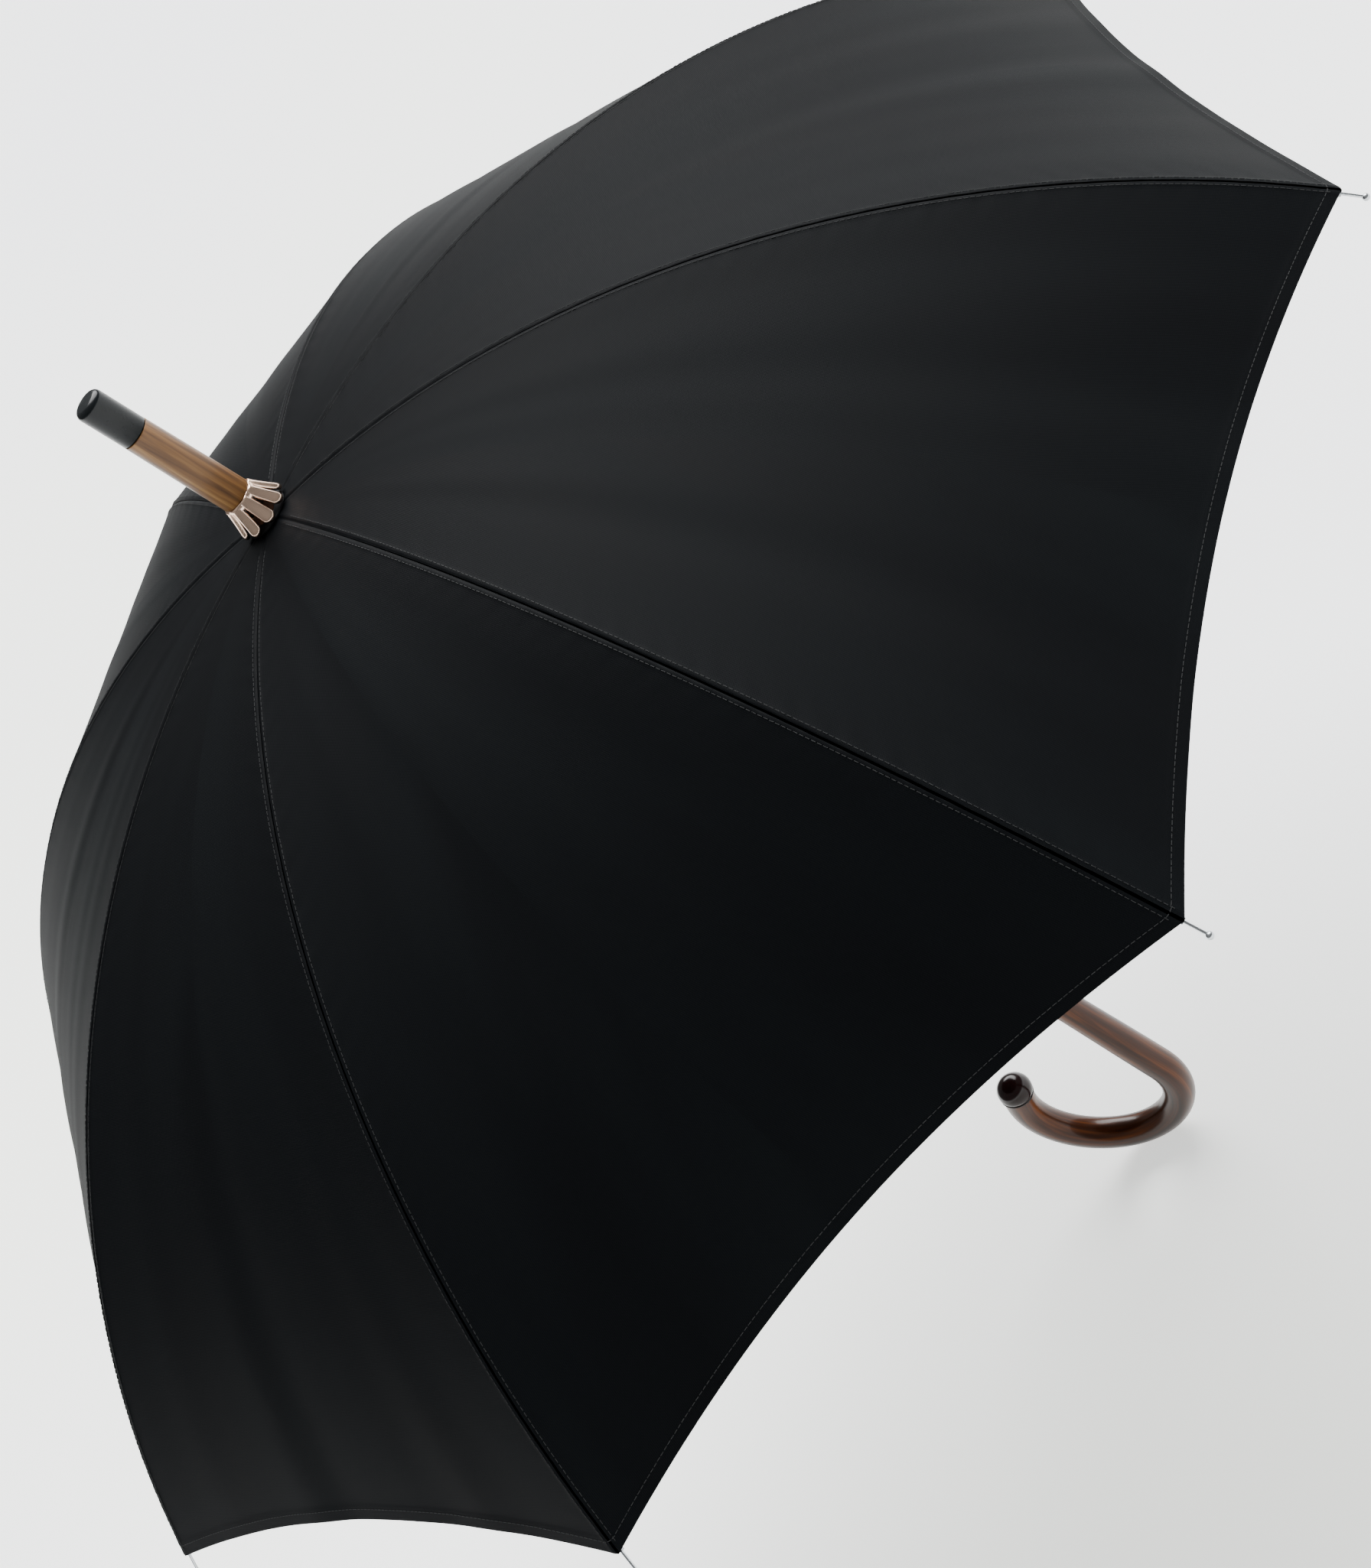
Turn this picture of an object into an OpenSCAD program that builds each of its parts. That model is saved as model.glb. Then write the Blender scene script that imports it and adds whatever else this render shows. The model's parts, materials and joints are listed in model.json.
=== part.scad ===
// Stick umbrella with eight ribs, open, standing on its shaft's axis.
// Millimetres, +Z towards the ferrule, origin at the middle of the grip.
// The crook bends towards -X. Ribs, stretchers and canopy pieces are numbered anticlockwise from above.

/* [Canopy] */
// Length of a rib along its curve, from its hinge to the canopy's corner
rib_length = 600; // [480:5:720]
// Slope of a rib at its hinge, in degrees below level (negative rises)
rib_slope_in = -2.4; // [-6:0.1:4]
// Slope of a rib at the canopy's corner, in degrees below level
rib_slope_out = 56; // [46:0.5:64]
// How far the hem's middle sits in from a line between two corners, along the cloth
hem_setback = 23; // [0:1:45]
// Thickness of the cloth
cloth_t = 0.6; // [0.4:0.1:1.2]
// Turn of the first rib from the crook's plane, in degrees
canopy_turn = 7.8; // [0:0.1:45]

/* [Stick] */
// Diameter of the shaft
shaft_d = 14; // [12:0.5:17]
// Length of the handle's straight part above the bend
grip_length = 108; // [70:2:160]
// Diameter at the top of the handle
grip_d_top = 19.6; // [18:0.2:24]
// Diameter round the bend
crook_d = 21.4; // [18:0.2:26]
// Radius of the bend to the middle of the wood
crook_r = 52.5; // [40:0.5:70]
// How far the crook turns, in degrees
crook_turn = 206; // [160:1:215]
// Straight length after the bend
crook_lead = 9; // [4:1:20]
// Diameter of the rounded nose cap
nose_d = 24; // [21:0.5:30]
// Distance from the rib hinges down to the handle's top
bare_shaft = 606; // [590:2:720]

/* [Ferrule] */
// Length of the turned wooden ferrule
ferrule_length = 66; // [40:1:110]
// Diameter of the wood at the rosette
ferrule_d_base = 20; // [17:0.2:23]
// Diameter of the wood at the tip cap
ferrule_d_tip = 19.2; // [13:0.2:21.6]
// Length of the tip cap
cap_length = 32; // [18:1:40]
// Diameter of the tip cap
cap_d = 19; // [13:0.2:21.6]
// Height of the rosette
rosette_h = 19; // [12:0.5:26]
// Diameter of the rosette across its petals
rosette_d = 35.5; // [28:0.5:41]

/* [Frame] */
// Radius of the circle of rib hinges
hinge_r = 12; // [11:0.5:16]
// Distance along a rib from its hinge to the stretcher's rivet
joint_at = 250; // [210:5:290]
// Height of the stretchers' inner ends below the rib hinges when open
runner_drop = 190; // [170:1:215]
// Radius of the circle of stretcher ends on the runner
runner_r = 14; // [13:0.5:17]
// Angle that a rib turns through to close, in degrees
rib_fold = 61; // [50:0.5:64]
// Width of a rib's channel
rib_w = 3.2; // [2.6:0.1:4]
// Depth of a rib's channel
rib_h = 2.2; // [1.8:0.1:3]
// Thickness of a rib's metal
rib_wall = 0.5; // [0.3:0.05:0.7]
// Length of the runner
runner_length = 42; // [34:1:42]
// How far a stretcher stops short of its runner hinge
open_pivot_gap = 12; // [10:0.5:16]

/* [Fits] */
// Gap round the shaft inside the runner
slide_gap = 0.3; // [0.2:0.05:0.5]
// Gap between a pin and its hole, at the radius
pin_gap = 0.05; // [0.03:0.01:0.1]
// Gap between soft pieces and their neighbours
cloth_gap = 0.3; // [0.2:0.05:0.6]
// Gap at each side of a piece that turns in a slot
side_gap = 0.3; // [0.2:0.05:0.5]

/* [Hidden] */

$fn = 48;
// How far a cut runs past the face that it opens
CUT = 1;
WOOD = "#7a4a26";
STEEL = "#a9abad";
BLACK_STEEL = "#3c3e42";
CLOTH = "#2c2e33";

// Stick heights, from the grip's middle
rib_count = 8;
rib_step = 360 / rib_count;
grip_middle = grip_length / 2;
bend_z = -grip_middle;
handle_top = grip_middle;
crown_z = handle_top + bare_shaft;
shaft_r = shaft_d / 2;

// A rib's arc in its own upright plane: x away from the shaft, z from the rib hinges
cloth_r = rib_length / ((rib_slope_out - rib_slope_in) * PI / 180);
arc_x = hinge_r - cloth_r * sin(rib_slope_in);
arc_z = -cloth_r * cos(rib_slope_in);
cloth_dip = rib_w / 2 * tan(rib_step / 2) * sin(rib_slope_out);
rib_top_r = cloth_r - cloth_t - cloth_gap - cloth_dip;
rib_mid_r = rib_top_r - rib_h / 2;
hinge_z = arc_z + sqrt(pow(rib_mid_r, 2) - pow(hinge_r - arc_x, 2));
function on_arc(slope, radius) = [arc_x + radius * sin(slope), arc_z + radius * cos(slope)];
function slope_at(length) = rib_slope_in + length / cloth_r * 180 / PI;

// Rib hinges, stretcher rivets and runner, open and closed
eye_r = 2;
wire_r = 0.6;
eye_hole_r = 0.9;
rivet_r = 0.8;
rivet_drop = 5;
rivet_slope = slope_at(joint_at);
rivet = on_arc(rivet_slope, rib_mid_r - rivet_drop);
runner_hinge = [runner_r, -runner_drop];
stretcher_length = norm(rivet - runner_hinge);
stretcher_angle = atan2(runner_hinge.y - rivet.y, runner_hinge.x - rivet.x);
rivet_arm = rivet - [hinge_r, hinge_z];
rivet_closed = [hinge_r + rivet_arm.x * cos(rib_fold) + rivet_arm.y * sin(rib_fold),
                hinge_z - rivet_arm.x * sin(rib_fold) + rivet_arm.y * cos(rib_fold)];
closed_drop = -rivet_closed.y + sqrt(pow(stretcher_length, 2) - pow(rivet_closed.x - runner_r, 2));
runner_travel = closed_drop - runner_drop;
closed_angle = atan2(-closed_drop - rivet_closed.y, runner_r - rivet_closed.x);
stretcher_fold = closed_angle - stretcher_angle + rib_fold;

// Runner and catches, as heights from the rib hinges
runner_bore_r = shaft_r + slide_gap;
runner_wall = 2.2;
runner_tube_r = runner_bore_r + runner_wall;
notch_rise = 4;
runner_top = -runner_drop + notch_rise;
runner_bottom = runner_top - runner_length;
slot_w = rib_w + 2 * side_gap;
catch_w = 3;
catch_length = 34;
catch_pin_at = 30;
catch_pin_r = 0.9;
catch_nose = 2.4;
catch_press = 4.9;
catch_back = 4;
catch_inset = 0.2;
catch_pin_x = (shaft_r + catch_back) / 2 - catch_inset;
catch_pin_length = catch_w + 4;
top_catch_z = runner_bottom - cloth_gap;
bottom_catch_z = runner_top - runner_travel + cloth_gap;

// Ferrule end, as heights from the rib hinges
washer_z = cloth_gap + 0.3;
washer_t = 0.8;
rosette_z = washer_z + washer_t + cloth_gap;
ferrule_z = rosette_z + rosette_h;
cap_z = ferrule_z + ferrule_length;
spigot_r = 4;
spigot_length = 24;
cap_spigot_r = 5;
cap_spigot_length = 14;
shaft_socket = 60;
nose_spigot = 6;
nose_length = 17;
stop_pin_r = 1.2;
stop_pin_length = shaft_d + 4;
tongue_w = 2;

module at_crown() {
    translate([0, 0, crown_z]) children();
}

module at_rib(i) {
    rotate([0, 0, canopy_turn + rib_step * (i - 1)]) at_crown() children();
}

// A flat outline swept round a rib's arc: outline x is across the rib, y is away from the arc's centre
module rib_sweep(from, to, radius) {
    translate([arc_x, 0, arc_z])
        rotate([90, 0, 0])
            rotate([0, 0, 90 - slope_at(to)])
                rotate_extrude(angle = slope_at(to) - slope_at(from), $fn = 180)
                    translate([radius, 0]) rotate(-90) children();
}

// A round bar across a rib's plane, centred on it
module cross_bar(radius, width, $fn = 32) {
    rotate([90, 0, 0]) cylinder(r = radius, h = width, center = true);
}

module ring(outer, inner, height) {
    difference() {
        cylinder(r = outer, h = height);
        translate([0, 0, -CUT]) cylinder(r = inner, h = height + 2 * CUT);
    }
}

// ---- Stick ----

module catch_slot(face_z, direction) {
    end_gap = 1;
    slot_from = 1;
    slot_length = catch_length + 2 * end_gap;
    low = direction > 0 ? face_z + end_gap - slot_length : face_z - end_gap;
    translate([slot_from, -catch_w / 2 - side_gap, low])
        cube([shaft_r, catch_w + 2 * side_gap, slot_length]);
}

module catch_pin_hole(face_z, direction, radius, width) {
    translate([catch_pin_x, 0, face_z - direction * catch_pin_at]) cross_bar(radius, width);
}

module shaft() {
    color(WOOD) at_crown() difference() {
        union() {
            translate([0, 0, -bare_shaft - shaft_socket])
                cylinder(r = shaft_r, h = bare_shaft + shaft_socket + ferrule_z);
            translate([0, 0, ferrule_z]) cylinder(r = spigot_r, h = spigot_length);
        }
        catch_slot(top_catch_z, 1);
        catch_slot(bottom_catch_z, -1);
        catch_pin_hole(top_catch_z, 1, catch_pin_r, shaft_d + 2 * CUT);
        catch_pin_hole(bottom_catch_z, -1, catch_pin_r, shaft_d + 2 * CUT);
        translate([0, 0, runner_top + cloth_gap + stop_pin_r]) cross_bar(stop_pin_r, shaft_d + 2 * CUT);
    }
}

// The straight part is a hair thinner than the bend where they meet
module crook_handle() {
    bend_step = 0.2;
    color("#5a2c18") difference() {
        union() {
            translate([0, 0, bend_z]) cylinder(d1 = crook_d - bend_step, d2 = grip_d_top, h = grip_length);
            translate([-crook_r, 0, bend_z]) rotate([90, 0, 0]) rotate([0, 0, -crook_turn])
                rotate_extrude(angle = crook_turn, $fn = 96) translate([crook_r, 0]) circle(d = crook_d);
            crook_end() translate([0, 0, -crook_lead]) cylinder(d = crook_d, h = crook_lead);
            crook_end() translate([0, 0, -crook_lead - nose_spigot])
                cylinder(r = cap_spigot_r, h = nose_spigot);
        }
        translate([0, 0, handle_top - shaft_socket]) cylinder(r = shaft_r + pin_gap, h = shaft_socket + CUT);
    }
}

// Places its children at the end of the bend, with -Z along the wood
module crook_end() {
    translate([-crook_r, 0, bend_z]) rotate([0, crook_turn, 0]) translate([crook_r, 0, 0]) children();
}

module nose_cap() {
    nose_r = nose_d / 2;
    color("#2a1113") crook_end() translate([0, 0, -crook_lead]) rotate([180, 0, 0]) difference() {
        rotate_extrude() intersection() {
            union() {
                translate([0, nose_length - nose_r]) circle(r = nose_r, $fn = 96);
                square([crook_d / 2, nose_length - nose_r]);
            }
            square([nose_r, nose_length]);
        }
        translate([0, 0, -CUT]) cylinder(r = cap_spigot_r + pin_gap, h = nose_spigot + CUT + pin_gap);
    }
}

module handle_collar() {
    collar_h = 12;
    rim_h = 2.5;
    rim_out = 0.5;
    neck_in = 0.2;
    neck_wall = 1.2;
    color("#b58a6a") translate([0, 0, handle_top]) difference() {
        union() {
            cylinder(d = grip_d_top + 2 * rim_out, h = rim_h);
            translate([0, 0, rim_h])
                cylinder(d1 = grip_d_top - 2 * neck_in, d2 = shaft_d + 2 * neck_wall, h = collar_h - rim_h);
        }
        translate([0, 0, -CUT]) cylinder(r = shaft_r + pin_gap, h = collar_h + 2 * CUT);
    }
}

module ferrule_wood() {
    color("#b0804f") at_crown() translate([0, 0, ferrule_z]) difference() {
        union() {
            cylinder(d1 = ferrule_d_base, d2 = ferrule_d_tip, h = ferrule_length);
            translate([0, 0, ferrule_length]) cylinder(r = cap_spigot_r, h = cap_spigot_length);
        }
        translate([0, 0, -CUT]) cylinder(r = spigot_r + pin_gap, h = spigot_length + CUT + pin_gap);
    }
}

module ferrule_cap() {
    round_r = 4;
    color("#23272b") at_crown() translate([0, 0, cap_z]) difference() {
        union() {
            cylinder(d = cap_d, h = cap_length - round_r);
            translate([0, 0, cap_length - round_r]) rotate_extrude() {
                square([cap_d / 2 - round_r, round_r]);
                intersection() {
                    translate([cap_d / 2 - round_r, 0]) circle(r = round_r);
                    square([cap_d / 2, round_r]);
                }
            }
        }
        translate([0, 0, -CUT]) cylinder(r = cap_spigot_r + pin_gap, h = cap_spigot_length + CUT + pin_gap);
    }
}

module rosette() {
    petals = 8;
    petal_r = 3.4;
    petal_sink = 1;
    petal_top_gap = 1.5;
    cone_lift = 0.6;
    petal_out = rosette_d / 2 - petal_r;
    petal_in = ferrule_d_base / 2 - petal_sink;
    petal_rise = rosette_h - 2 * petal_r - petal_top_gap;
    tilt = atan2(petal_out - petal_in, petal_rise);
    petal_length = norm([petal_out - petal_in, petal_rise]);
    color("#d9a893") at_crown() translate([0, 0, rosette_z]) difference() {
        union() {
            translate([0, 0, cone_lift])
                cylinder(r1 = petal_out, r2 = ferrule_d_base / 2, h = rosette_h - cone_lift);
            for (i = [1:petals]) rotate([0, 0, 360 / petals * i]) translate([petal_out, 0, petal_r])
                rotate([0, -tilt, 0]) round_ended_bar(petal_r, petal_length);
        }
        translate([0, 0, -CUT]) cylinder(r = shaft_r + pin_gap, h = rosette_h + 2 * CUT);
    }
}

// A bar with ball ends; its length is measured between the balls' centres
module round_ended_bar(radius, length) {
    rotate_extrude($fn = 32) intersection() {
        union() {
            circle(r = radius);
            translate([0, length]) circle(r = radius);
            translate([-radius, 0]) square([2 * radius, length]);
        }
        translate([0, -radius]) square([radius, length + 2 * radius]);
    }
}

module canopy_washer() {
    rim_in = 3;
    color("#202226") at_crown() translate([0, 0, washer_z])
        ring(rosette_d / 2 - rim_in, shaft_r + pin_gap, washer_t);
}

module stop_pin() {
    color(STEEL) at_crown() translate([0, 0, runner_top + cloth_gap + stop_pin_r])
        cross_bar(stop_pin_r - pin_gap, stop_pin_length);
}

module catch_pins() {
    color(STEEL) at_crown() {
        catch_pin_hole(top_catch_z, 1, catch_pin_r - pin_gap, catch_pin_length);
        catch_pin_hole(bottom_catch_z, -1, catch_pin_r - pin_gap, catch_pin_length);
    }
}

// ---- Notched rings that hold the ends of ribs and stretchers ----

// A ring with eight slots and a groove for its wire, centred on the wire's plane
module notched_ring(bore, wire_circle, below, above, slot, slot_floor) {
    lip = 2;
    outer = wire_circle + lip;
    difference() {
        translate([0, 0, -below]) ring(outer, bore, below + above);
        for (i = [1:rib_count]) rotate([0, 0, canopy_turn + rib_step * (i - 1)])
            translate([slot_floor, -slot / 2, -below - CUT]) cube([outer, slot, below + above + 2 * CUT]);
        translate([0, 0, -wire_r - pin_gap])
            ring(outer + CUT, wire_circle - wire_r - pin_gap, 2 * (wire_r + pin_gap));
    }
}

module hinge_wire(wire_circle) {
    rotate_extrude() translate([wire_circle, 0]) circle(r = wire_r, $fn = 24);
}

module top_notch() {
    below = 6;
    above = 1;
    color(BLACK_STEEL) at_crown() translate([0, 0, hinge_z])
        notched_ring(shaft_r + pin_gap, hinge_r, below, above, slot_w, hinge_r - eye_r - side_gap);
}

module notch_wire() {
    color(STEEL) at_crown() translate([0, 0, hinge_z]) hinge_wire(hinge_r);
}

// ---- Runner ----

module runner_tube() {
    color(BLACK_STEEL) at_crown() translate([0, 0, runner_bottom])
        ring(runner_tube_r, runner_bore_r, runner_length);
}

module runner_notch() {
    color(BLACK_STEEL) at_crown() translate([0, 0, -runner_drop])
        notched_ring(runner_tube_r, runner_r, notch_rise, notch_rise, slot_w, runner_r - eye_r - side_gap);
}

module runner_wire() {
    color(STEEL) at_crown() translate([0, 0, -runner_drop]) hinge_wire(runner_r);
}

module runner_ring() {
    ring_h = 6;
    foot_out = 3;
    top_out = 1;
    color(BLACK_STEEL) at_crown() translate([0, 0, runner_bottom]) difference() {
        union() {
            cylinder(r = runner_tube_r + foot_out, h = ring_h / 2);
            translate([0, 0, ring_h / 2])
                cylinder(r1 = runner_tube_r + foot_out, r2 = runner_tube_r + top_out, h = ring_h / 2);
        }
        translate([0, 0, -CUT]) cylinder(r = runner_tube_r, h = ring_h + 2 * CUT);
    }
}

// A sprung leaf in the shaft. Its flat nose faces +Z; the pin is near its other end
module catch_leaf() {
    nose_r = shaft_r + catch_nose;
    nose_edge = 2.5;
    slope_end = 8;
    difference() {
        translate([0, catch_w / 2, 0]) rotate([90, 0, 0]) linear_extrude(catch_w)
            polygon([[catch_back, 0], [nose_r, 0], [nose_r, -nose_edge], [shaft_r - catch_inset, -slope_end],
                     [shaft_r - 2 * catch_inset, -catch_length], [catch_back, -catch_length]]);
        catch_pin_hole(0, 1, catch_pin_r, shaft_d);
    }
}

module top_catch() {
    color(STEEL) at_crown() translate([0, 0, top_catch_z]) catch_leaf();
}

module bottom_catch() {
    color(STEEL) at_crown() translate([0, 0, bottom_catch_z]) mirror([0, 0, 1]) catch_leaf();
}

// ---- Ribs ----

module rib(i) {
    eye_overlap = 0.4;
    color(STEEL) at_rib(i) {
        rib_sweep(eye_r - eye_overlap, rib_length, rib_mid_r) difference() {
            translate([-rib_w / 2, -rib_h / 2]) square([rib_w, rib_h]);
            translate([-rib_w / 2 + rib_wall, -rib_h / 2 - CUT])
                square([rib_w - 2 * rib_wall, rib_h + CUT - rib_wall]);
        }
        translate([hinge_r, 0, hinge_z]) difference() {
            cross_bar(eye_r, rib_w);
            cross_bar(eye_hole_r, rib_w + 2 * CUT);
        }
    }
}

module rib_tip(i) {
    tip_wire_r = 0.8;
    tip_ball_r = 2;
    inside = 16;
    outside = 13;
    tip_r = rib_mid_r - rib_wall + rib_h / 2 - tip_wire_r - pin_gap;
    ball = on_arc(slope_at(rib_length + outside), tip_r);
    color("#c9cacc") at_rib(i) {
        rib_sweep(rib_length - inside, rib_length + outside, tip_r) circle(r = tip_wire_r, $fn = 24);
        translate([ball.x, 0, ball.y]) sphere(r = tip_ball_r, $fn = 32);
    }
}

module rib_joint(i) {
    saddle_l = 14;
    saddle_t = 0.8;
    saddle_top_gap = 0.2;
    ear_rim = 0.4;
    ear_in = tongue_w / 2 + side_gap;
    head_t = 0.5;
    head_rim = 0.5;
    head_out = 0.3;
    color("#8f9194") at_rib(i) {
        difference() {
            union() {
                rib_sweep(joint_at - saddle_l / 2, joint_at + saddle_l / 2, rib_mid_r) difference() {
                    translate([-rib_w / 2 - saddle_t, -rib_h / 2 - saddle_t])
                        square([rib_w + 2 * saddle_t, rib_h + saddle_t - saddle_top_gap]);
                    translate([-rib_w / 2 - pin_gap, -rib_h / 2 - pin_gap])
                        square([rib_w + 2 * pin_gap, rib_h + CUT]);
                }
                at_rivet() for (side = [-1, 1]) translate([0, side * (ear_in + saddle_t / 2), 0]) {
                    cross_bar(eye_r + ear_rim, saddle_t);
                    translate([-eye_r - ear_rim, -saddle_t / 2, 0])
                        cube([2 * (eye_r + ear_rim), saddle_t, rivet_drop - rib_h / 2 - saddle_t / 2]);
                }
            }
            at_rivet() cross_bar(rivet_r, 2 * (ear_in + saddle_t + CUT));
        }
        at_rivet() {
            cross_bar(rivet_r - pin_gap, 2 * (ear_in + saddle_t + head_out));
            for (side = [-1, 1]) translate([0, side * (ear_in + saddle_t + head_out), 0])
                cross_bar(rivet_r + head_rim, head_t);
        }
    }
}

// Places its children at a rib's rivet, with +Z away from the rib arc's centre
module at_rivet() {
    translate([rivet.x, 0, rivet.y]) rotate([0, rivet_slope, 0]) children();
}

module stretcher(i) {
    bar_w = rib_w;
    bar_h = 2.6;
    tongue_l = 7;
    channel_from = tongue_l + 3;
    color(STEEL) at_rib(i) translate([rivet.x, 0, rivet.y]) rotate([0, -stretcher_angle, 0]) difference() {
        union() {
            cross_bar(eye_r, tongue_w);
            translate([0, -tongue_w / 2, -bar_h / 2]) cube([tongue_l + CUT, tongue_w, bar_h]);
            translate([tongue_l, -bar_w / 2, -bar_h / 2])
                cube([stretcher_length - open_pivot_gap - tongue_l, bar_w, bar_h]);
        }
        cross_bar(rivet_r + pin_gap, tongue_w + 2 * CUT);
        translate([channel_from, -bar_w / 2 + rib_wall, -bar_h / 2 - CUT])
            cube([stretcher_length, bar_w - 2 * rib_wall, bar_h + CUT - rib_wall]);
    }
}

// ---- Canopy ----

// One sewn seam over a rib, with half a panel of cloth at each side of it.
// Between two ribs the cloth is taut and straight, and its hem curves in.
cloth_rows = 20;
cloth_half = 4;
cloth_in_gap = 1.5;
cloth_in_r = shaft_r + cloth_in_gap;

// Point of the cloth: row runs out from the crown, column across from one fold to the other
function cloth_point(row, column, radius) =
    let (share = abs(column) / cloth_half,
         hole_slope = asin((cloth_in_r - arc_x) / cloth_r),
         w0 = share / 2,
         hem = slope_at(rib_length - hem_setback * 4 * w0 * (1 - w0)),
         slope = hole_slope + (hem - hole_slope) * row / cloth_rows,
         p = on_arc(slope, radius),
         w = w0 - (share == 1 ? cloth_gap / 2 / (2 * p.x * sin(rib_step / 2)) : 0),
         side = sign(column))
    [p.x * (1 - w * (1 - cos(rib_step))), side * w * p.x * sin(rib_step), p.y];

module canopy(i) {
    columns = 2 * cloth_half + 1;
    per_face = (cloth_rows + 1) * columns;
    outer = [for (row = [0:cloth_rows], column = [-cloth_half:cloth_half])
             cloth_point(row, column, cloth_r)];
    inner = [for (row = [0:cloth_rows], column = [-cloth_half:cloth_half])
             cloth_point(row, column, cloth_r - cloth_t)];
    function at(row, column, layer) = layer * per_face + row * columns + column;
    last = columns - 1;
    function quad(a, b, c, d) = [[a, b, c], [a, c, d]];
    faces = concat(
        [for (r = [0:cloth_rows - 1], c = [0:last - 1])
            each quad(at(r, c, 0), at(r, c + 1, 0), at(r + 1, c + 1, 0), at(r + 1, c, 0))],
        [for (r = [0:cloth_rows - 1], c = [0:last - 1])
            each quad(at(r, c, 1), at(r + 1, c, 1), at(r + 1, c + 1, 1), at(r, c + 1, 1))],
        [for (r = [0:cloth_rows - 1])
            each quad(at(r, 0, 0), at(r + 1, 0, 0), at(r + 1, 0, 1), at(r, 0, 1))],
        [for (r = [0:cloth_rows - 1])
            each quad(at(r, last, 0), at(r, last, 1), at(r + 1, last, 1), at(r + 1, last, 0))],
        [for (c = [0:last - 1])
            each quad(at(0, c, 0), at(0, c, 1), at(0, c + 1, 1), at(0, c + 1, 0))],
        [for (c = [0:last - 1])
            each quad(at(cloth_rows, c, 0), at(cloth_rows, c + 1, 0),
                      at(cloth_rows, c + 1, 1), at(cloth_rows, c, 1))]);
    color(CLOTH) at_rib(i) polyhedron(points = concat(outer, inner), faces = faces);
}

shaft();
crook_handle();
nose_cap();
handle_collar();
ferrule_wood();
ferrule_cap();
rosette();
canopy_washer();
top_notch();
notch_wire();
stop_pin();
catch_pins();
runner_tube();
runner_notch();
runner_wire();
runner_ring();
top_catch();
bottom_catch();
for (i = [1:rib_count]) {
    canopy(i);
    rib(i);
    rib_tip(i);
    rib_joint(i);
    stretcher(i);
}
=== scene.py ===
# %% [markdown]
# # A stick umbrella, open
# The frame below is finished and its joints work: stick, ribs, stretchers, runner and catches.
# What is missing is everything that the eye and the hand judge an umbrella by: taut black
# cloth with its seams and hem, a lacquered crook, a fluted metal rosette and a turned tip.
# Each cell adds one of them, and prints what it made.

# %% Load the frame
import json
import math

import bmesh
import bpy
import numpy as np
from mathutils import Matrix, Vector


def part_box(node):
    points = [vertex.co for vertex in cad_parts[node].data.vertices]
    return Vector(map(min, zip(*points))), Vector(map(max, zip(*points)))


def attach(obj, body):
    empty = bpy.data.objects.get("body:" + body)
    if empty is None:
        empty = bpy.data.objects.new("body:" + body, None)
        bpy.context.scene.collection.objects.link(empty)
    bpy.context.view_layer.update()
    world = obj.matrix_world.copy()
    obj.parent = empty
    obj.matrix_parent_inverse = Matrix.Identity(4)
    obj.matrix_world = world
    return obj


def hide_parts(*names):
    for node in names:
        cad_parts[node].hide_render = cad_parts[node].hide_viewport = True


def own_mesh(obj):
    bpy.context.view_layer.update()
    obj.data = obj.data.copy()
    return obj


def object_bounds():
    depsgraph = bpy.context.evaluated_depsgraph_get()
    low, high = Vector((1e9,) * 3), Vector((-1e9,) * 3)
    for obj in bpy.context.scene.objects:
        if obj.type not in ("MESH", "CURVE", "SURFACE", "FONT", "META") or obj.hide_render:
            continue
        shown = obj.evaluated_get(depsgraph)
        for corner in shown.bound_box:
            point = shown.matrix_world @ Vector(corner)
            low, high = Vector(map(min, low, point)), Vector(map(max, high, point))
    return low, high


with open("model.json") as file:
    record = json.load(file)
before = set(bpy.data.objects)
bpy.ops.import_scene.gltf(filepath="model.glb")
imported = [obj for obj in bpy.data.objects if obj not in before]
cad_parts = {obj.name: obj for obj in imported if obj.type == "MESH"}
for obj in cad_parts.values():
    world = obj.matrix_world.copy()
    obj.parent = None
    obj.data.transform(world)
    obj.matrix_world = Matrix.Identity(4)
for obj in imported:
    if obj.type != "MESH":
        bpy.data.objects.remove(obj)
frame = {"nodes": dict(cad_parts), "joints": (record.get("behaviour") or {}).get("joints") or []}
cad_box = [list(corner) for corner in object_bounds()]
nodes = frame["nodes"]
joints = {joint["name"]: joint for joint in frame["joints"]}

# %% [markdown]
# ## Measures
# Every place comes from the frame, so that the looks follow the working parts. A rib is an
# arc of a circle. Its hinge, its length and its two slopes fix that circle, and the cloth
# lies on it. Lengths are in metres, so `MM` turns the maker's millimetres into them.

# %% Measures of the ribs and the cloth
MM = 0.001
RIBS = 8
STEP = 2 * math.pi / RIBS
RIB_LENGTH = 600 * MM
SLOPE_IN = math.radians(-2.4)
SLOPE_OUT = math.radians(56)
HEM_SETBACK = 23 * MM
WASHER_LIFT = 0.6 * MM
hinge = Vector(joints["rib_hinge_1"]["pos_m"])
HINGE_R = math.hypot(hinge.x, hinge.y)
TURN = math.atan2(hinge.y, hinge.x)
CROWN_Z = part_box("canopy_washer")[0][2] - WASHER_LIFT
ARC_R = RIB_LENGTH / (SLOPE_OUT - SLOPE_IN)
ARC_X = HINGE_R - ARC_R * math.sin(SLOPE_IN)
ARC_Z = CROWN_Z - ARC_R * math.cos(SLOPE_IN)


def rib_direction(rib):
    """The level direction that a rib points in, and the level direction across it."""
    angle = TURN + STEP * (rib - 1)
    out = np.array([math.cos(angle), math.sin(angle), 0.0])
    across = np.array([-math.sin(angle), math.cos(angle), 0.0])
    return out, across


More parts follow.
